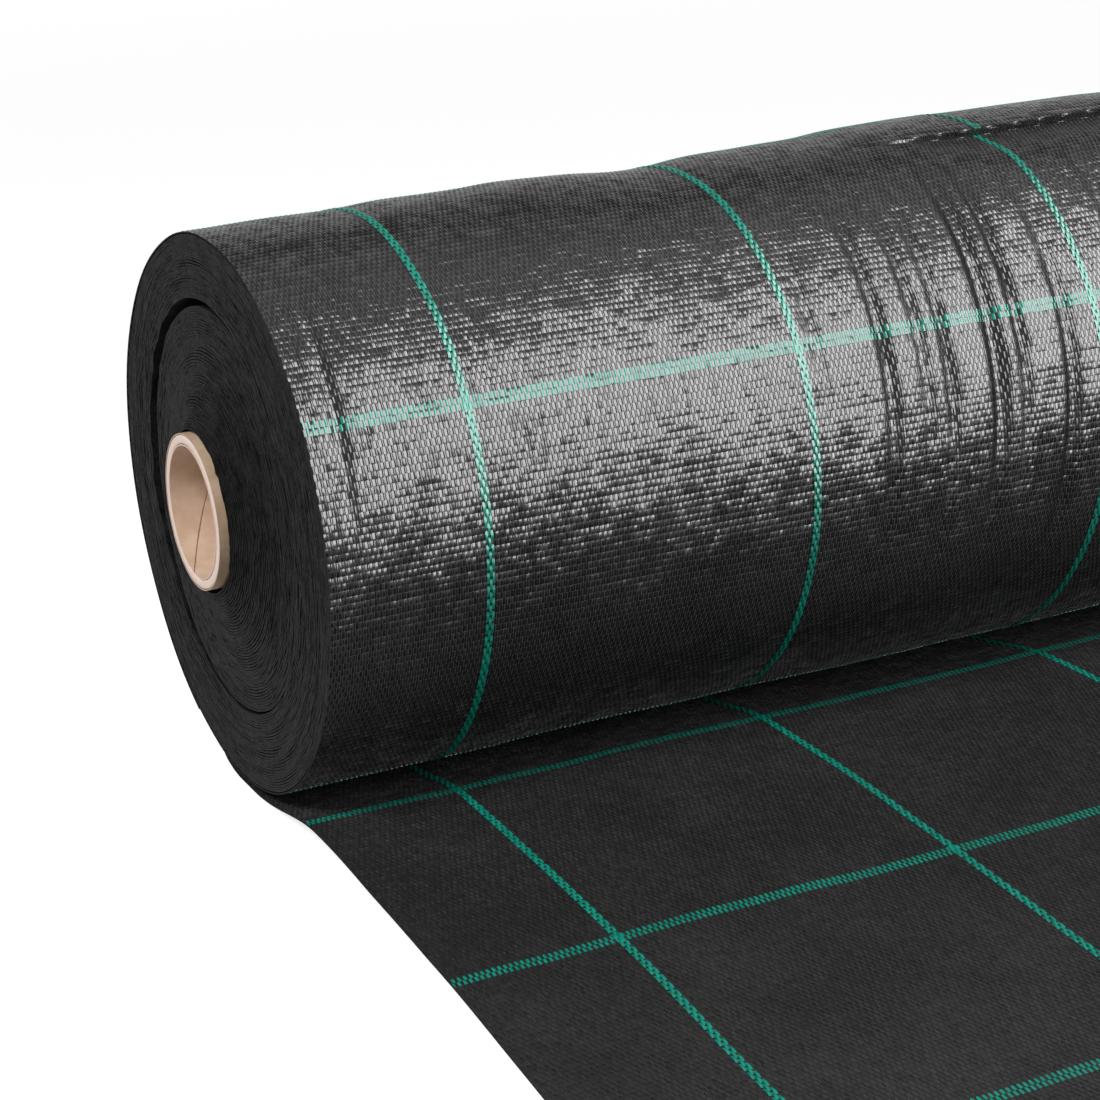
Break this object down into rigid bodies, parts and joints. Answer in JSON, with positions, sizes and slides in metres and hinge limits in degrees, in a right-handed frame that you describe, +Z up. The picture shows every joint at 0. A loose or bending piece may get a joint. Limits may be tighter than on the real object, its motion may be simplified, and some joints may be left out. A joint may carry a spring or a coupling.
{
  "type": "roll of woven weed control fabric",
  "caption": "Roll of black woven ground cover cloth with a green marker grid, wound on an open cardboard core, its free end laid out flat in front.",
  "frame": {"origin": "on the ground, on the underside of the laid sheet, straight below the middle of the core", "axes": "+X along the roll's axis, away from the end that the picture shows; -Y the way the free sheet leaves the roll; +Z up"},
  "size_m": [1.02, 0.7856, 0.3335],
  "materials": {
    "weed_cloth": "black woven polypropylene tape, dull with a sheen along the tapes",
    "green_tape": "green polypropylene tape",
    "kraft_board": "raw cut board",
    "kraft_paper": "smooth brown kraft paper",
    "clear_tape": "amber packing tape"
  },
  "bodies": {
    "laid_cloth": {"laid_sheet": "weed_cloth", "sheet_warp_marker_1": "green_tape", "sheet_warp_marker_2": "green_tape", "sheet_warp_marker_3": "green_tape", "sheet_warp_marker_4": "green_tape", "sheet_warp_marker_5": "green_tape", "sheet_weft_marker_1": "green_tape", "sheet_weft_marker_2": "green_tape", "sheet_weft_marker_3": "green_tape"},
    "roll": {"core_board": "kraft_board", "core_cover_ply": "kraft_paper", "core_liner_ply": "kraft_paper", "starter_tape": "clear_tape", "inner_winding": "weed_cloth", "outer_winding": "weed_cloth", "outer_turn": "weed_cloth", "roll_warp_marker_1": "green_tape", "roll_warp_marker_2": "green_tape", "roll_warp_marker_3": "green_tape", "roll_warp_marker_4": "green_tape", "roll_warp_marker_5": "green_tape", "roll_weft_marker_1": "green_tape", "roll_weft_marker_2": "green_tape", "roll_weft_marker_3": "green_tape", "roll_weft_marker_4": "green_tape", "roll_weft_marker_5": "green_tape"}
  },
  "joints": [
    {"name": "roll_turn", "type": "hinge", "parent": "laid_cloth", "child": "roll", "pos_m": [0, 0, 0.1679], "axis": [-1, 0, 0], "continuous": true}
  ]
}
